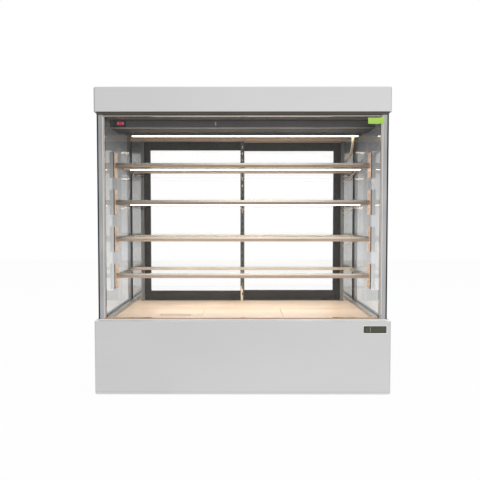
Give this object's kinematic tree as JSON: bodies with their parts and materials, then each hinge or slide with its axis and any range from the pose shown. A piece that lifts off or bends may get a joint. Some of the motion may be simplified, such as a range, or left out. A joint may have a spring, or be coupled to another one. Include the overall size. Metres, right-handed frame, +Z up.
{
  "type": "cake display case",
  "caption": "Glass display case for cakes with lit shelves, sliding rear doors, a cooled deck and a brushed steel base and canopy.",
  "frame": {"origin": "on the floor under the middle of the case, where the levelling feet stand", "axes": "+X to the right for someone facing the glass front, +Y to the sliding doors at the back, +Z up"},
  "size_m": [1.2, 0.6, 1.25],
  "materials": {
    "casing_steel": "satin brushed stainless steel",
    "post_steel": "fine brushed stainless steel",
    "chassis_paint": "matt grey paint on square tube",
    "tub_liner": "white liner",
    "deck_board": "pale beech laminate",
    "clear_glass": "polished float glass",
    "spacer_aluminium": "matt anodised",
    "shelf_steel": "satin stainless tube",
    "door_aluminium": "dark anodised aluminium",
    "track_aluminium": "satin anodised",
    "upright_steel": "dark grey coated steel",
    "light_diffuser": "opal acrylic, lit",
    "channel_paint": "dark grey coated sheet",
    "ceiling_board": "dark grey coated foam board",
    "switch_black": "moulded nylon",
    "rocker_red": "lit red polycarbonate",
    "controller_black": "moulded ABS",
    "window_tint": "smoked acrylic",
    "key_rubber": "silicone keys",
    "compressor_paint": "black enamel",
    "copper_pipe": "drawn copper",
    "coil_aluminium": "mill finish fins",
    "fan_plastic": "moulded",
    "lead_pvc": "cream PVC sheath",
    "gland_nylon": "moulded nylon",
    "screw_steel": "plated",
    "foot_rubber": "hard rubber",
    "box_plastic": "moulded ABS",
    "sill_aluminium": "ribbed anodised extrusion"
  },
  "bodies": {
    "root": {"base_front_panel": "casing_steel", "base_side_panels": "casing_steel", "base_rear_panel": "casing_steel", "base_floor_pan": "casing_steel", "chassis_frame": "chassis_paint", "insulated_tub": "tub_liner", "deck_rear": "deck_board", "deck_left": "deck_board", "deck_centre": "deck_board", "deck_right": "deck_board", "side_sills": "sill_aluminium", "corner_posts": "post_steel", "front_rails": "post_steel", "front_glass": "clear_glass", "side_glass": "clear_glass", "glass_spacers": "spacer_aluminium", "door_tracks": "track_aluminium", "slotted_uprights": "upright_steel", "shelf_glass": "clear_glass", "shelf_lights": "light_diffuser", "shelf_1_frame": "shelf_steel", "shelf_2_frame": "shelf_steel", "shelf_3_frame": "shelf_steel", "shelf_4_frame": "shelf_steel", "top_frame": "chassis_paint", "ceiling_panel": "ceiling_board", "light_channel": "channel_paint", "top_light": "light_diffuser", "switch_housing": "switch_black", "canopy_front": "casing_steel", "canopy_sides": "casing_steel", "canopy_top": "casing_steel", "panel_screws": "screw_steel", "controller_housing": "controller_black", "controller_window": "window_tint", "compressor": "compressor_paint", "condenser": "coil_aluminium", "evaporator": "coil_aluminium", "refrigerant_pipes": "copper_pipe", "electrical_box": "box_plastic", "cable_gland": "gland_nylon", "lead_top": "lead_pvc", "lead_shelf_1": "lead_pvc", "lead_shelf_2": "lead_pvc", "lead_shelf_3": "lead_pvc", "lead_shelf_4": "lead_pvc"},
    "door_left": {"door_left_frame": "door_aluminium", "door_left_glass": "clear_glass"},
    "door_right": {"door_right_frame": "door_aluminium", "door_right_glass": "clear_glass"},
    "rocker": {"rocker_switch": "rocker_red"},
    "key_up": {"button_up": "key_rubber"},
    "key_set": {"button_set": "key_rubber"},
    "key_down": {"button_down": "key_rubber"},
    "condenser_fan": {"condenser_fan_blade": "fan_plastic"},
    "evaporator_fan": {"evaporator_fan_blade": "fan_plastic"},
    "front_left_foot": {"foot_front_left": "foot_rubber"},
    "front_right_foot": {"foot_front_right": "foot_rubber"},
    "rear_left_foot": {"foot_rear_left": "foot_rubber"},
    "rear_right_foot": {"foot_rear_right": "foot_rubber"}
  },
  "joints": [
    {"name": "door_left_slide", "type": "slide", "parent": "root", "child": "door_left", "axis": [1, 0, 0], "range_m": [0, 0.5]},
    {"name": "door_right_slide", "type": "slide", "parent": "root", "child": "door_right", "axis": [1, 0, 0], "range_m": [-0.5, 0]},
    {"name": "rocker_tip", "type": "hinge", "parent": "root", "child": "rocker", "pos_m": [-0.515, -0.1715, 1.124], "axis": [0, 0, 1], "range_deg": [0, 16]},
    {"name": "key_up_press", "type": "slide", "parent": "root", "child": "key_up", "axis": [0, 1, 0], "range_m": [0, 0.0008], "stiffness_N_per_m": 400},
    {"name": "key_set_press", "type": "slide", "parent": "root", "child": "key_set", "axis": [0, 1, 0], "range_m": [0, 0.0008], "stiffness_N_per_m": 400},
    {"name": "key_down_press", "type": "slide", "parent": "root", "child": "key_down", "axis": [0, 1, 0], "range_m": [0, 0.0008], "stiffness_N_per_m": 400},
    {"name": "condenser_fan_spin", "type": "hinge", "parent": "root", "child": "condenser_fan", "pos_m": [0, 0.1896, 0.0825], "axis": [0, 1, 0], "continuous": true},
    {"name": "evaporator_fan_spin", "type": "hinge", "parent": "root", "child": "evaporator_fan", "pos_m": [-0.05, 0.0494, 0.256], "axis": [0, 1, 0], "continuous": true},
    {"name": "front_left_foot_turn", "type": "hinge", "parent": "root", "child": "front_left_foot", "pos_m": [-0.54, -0.24, 0.012], "axis": [0, 0, 1], "continuous": true},
    {"name": "front_right_foot_turn", "type": "hinge", "parent": "root", "child": "front_right_foot", "pos_m": [0.54, -0.24, 0.012], "axis": [0, 0, 1], "continuous": true},
    {"name": "rear_left_foot_turn", "type": "hinge", "parent": "root", "child": "rear_left_foot", "pos_m": [-0.54, 0.24, 0.012], "axis": [0, 0, 1], "continuous": true},
    {"name": "rear_right_foot_turn", "type": "hinge", "parent": "root", "child": "rear_right_foot", "pos_m": [0.54, 0.24, 0.012], "axis": [0, 0, 1], "continuous": true}
  ]
}
